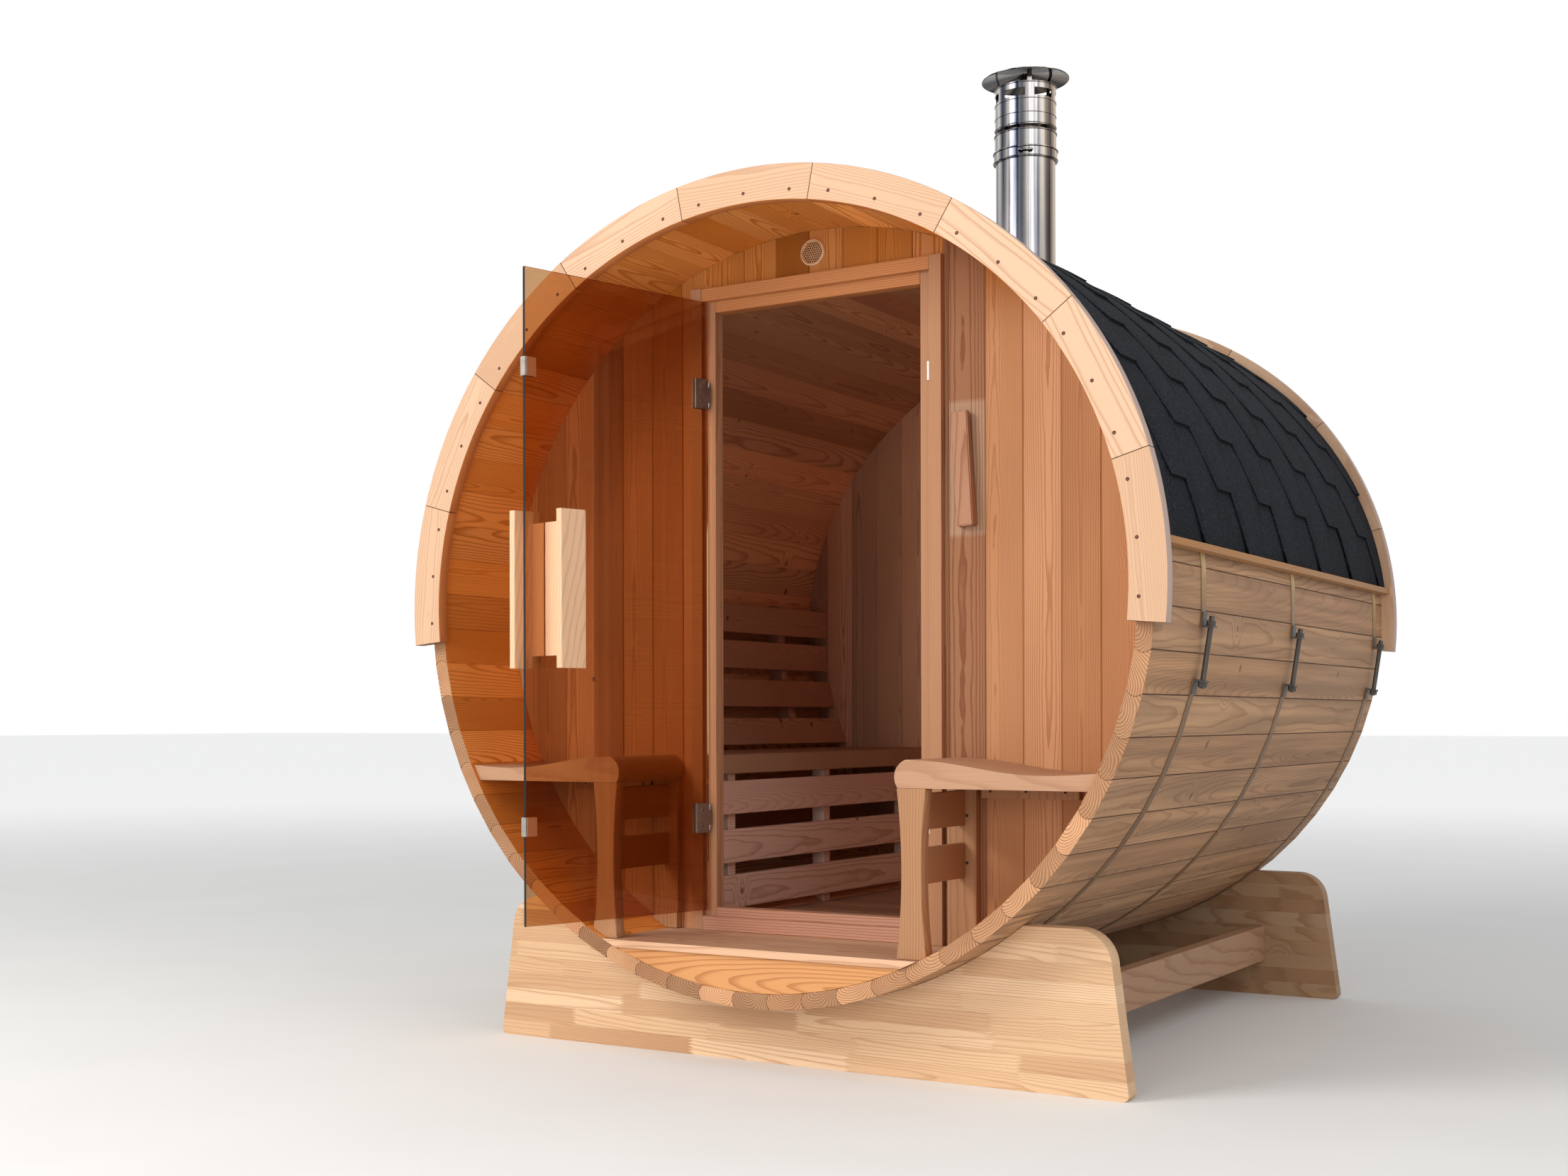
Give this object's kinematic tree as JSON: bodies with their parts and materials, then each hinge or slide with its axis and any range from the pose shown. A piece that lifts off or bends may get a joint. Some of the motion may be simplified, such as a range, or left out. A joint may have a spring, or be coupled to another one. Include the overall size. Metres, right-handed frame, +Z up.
{
  "type": "barrel sauna",
  "caption": "Outdoor barrel sauna of bead-and-cove staves with a shingled roof, open porch with benches, tinted glass door, cradles and flue.",
  "frame": {"origin": "middle of the front cradle's underside, on the ground", "axes": "+X to the right seen from the front, +Y from the porch to the back, +Z up"},
  "size_m": [2, 2.3647, 2.8226],
  "materials": {
    "stained_wood": "oiled softwood boards",
    "outer_staves": "weathered knotty softwood",
    "pale_wood": "planed glued softwood",
    "bench_wood": "planed softwood",
    "shingles": "mineral granules on bitumen",
    "steel": "polished stainless steel",
    "band_steel": "dark oiled steel",
    "bronze_glass": "clear bronze-tinted toughened glass",
    "handle_wood": "planed pale wood"
  },
  "bodies": {
    "barrel": {"cabin_backrest": "bench_wood", "cabin_bench_front": "bench_wood", "cabin_bench_seat": "bench_wood", "cabin_floor": "stained_wood", "chimney_cap": "steel", "chimney_flashing": "steel", "chimney_pipe": "steel", "cradle_stretchers": "pale_wood", "door_header": "stained_wood", "door_jambs": "stained_wood", "door_sill": "stained_wood", "eave_battens": "outer_staves", "front_cradle": "pale_wood", "front_ring": "pale_wood", "front_wall_left": "stained_wood", "front_wall_over_door": "stained_wood", "front_wall_right": "stained_wood", "jamb_fittings": "steel", "porch_apron": "stained_wood", "porch_bench_frame_left": "bench_wood", "porch_bench_frame_right": "bench_wood", "porch_bench_seat_left": "bench_wood", "porch_bench_seat_right": "bench_wood", "porch_floor": "stained_wood", "rear_cradle": "pale_wood", "rear_ring": "pale_wood", "rear_wall": "stained_wood", "roof_covering": "shingles", "staves_bottom": "outer_staves", "staves_left": "outer_staves", "staves_lower_left": "outer_staves", "staves_lower_right": "outer_staves", "staves_right": "outer_staves", "staves_top": "outer_staves", "staves_upper_left": "outer_staves", "staves_upper_right": "outer_staves", "steel_bands": "band_steel", "vent_grille": "steel", "wall_block": "bench_wood"},
    "door": {"door_glass": "bronze_glass", "door_handle": "handle_wood", "door_fittings": "steel"}
  },
  "joints": [
    {"name": "door_hinge", "type": "hinge", "parent": "barrel", "child": "door", "pos_m": [-0.302, 0.128, 1.117], "axis": [0, 0, 1], "range_deg": [0, 104.2]}
  ]
}
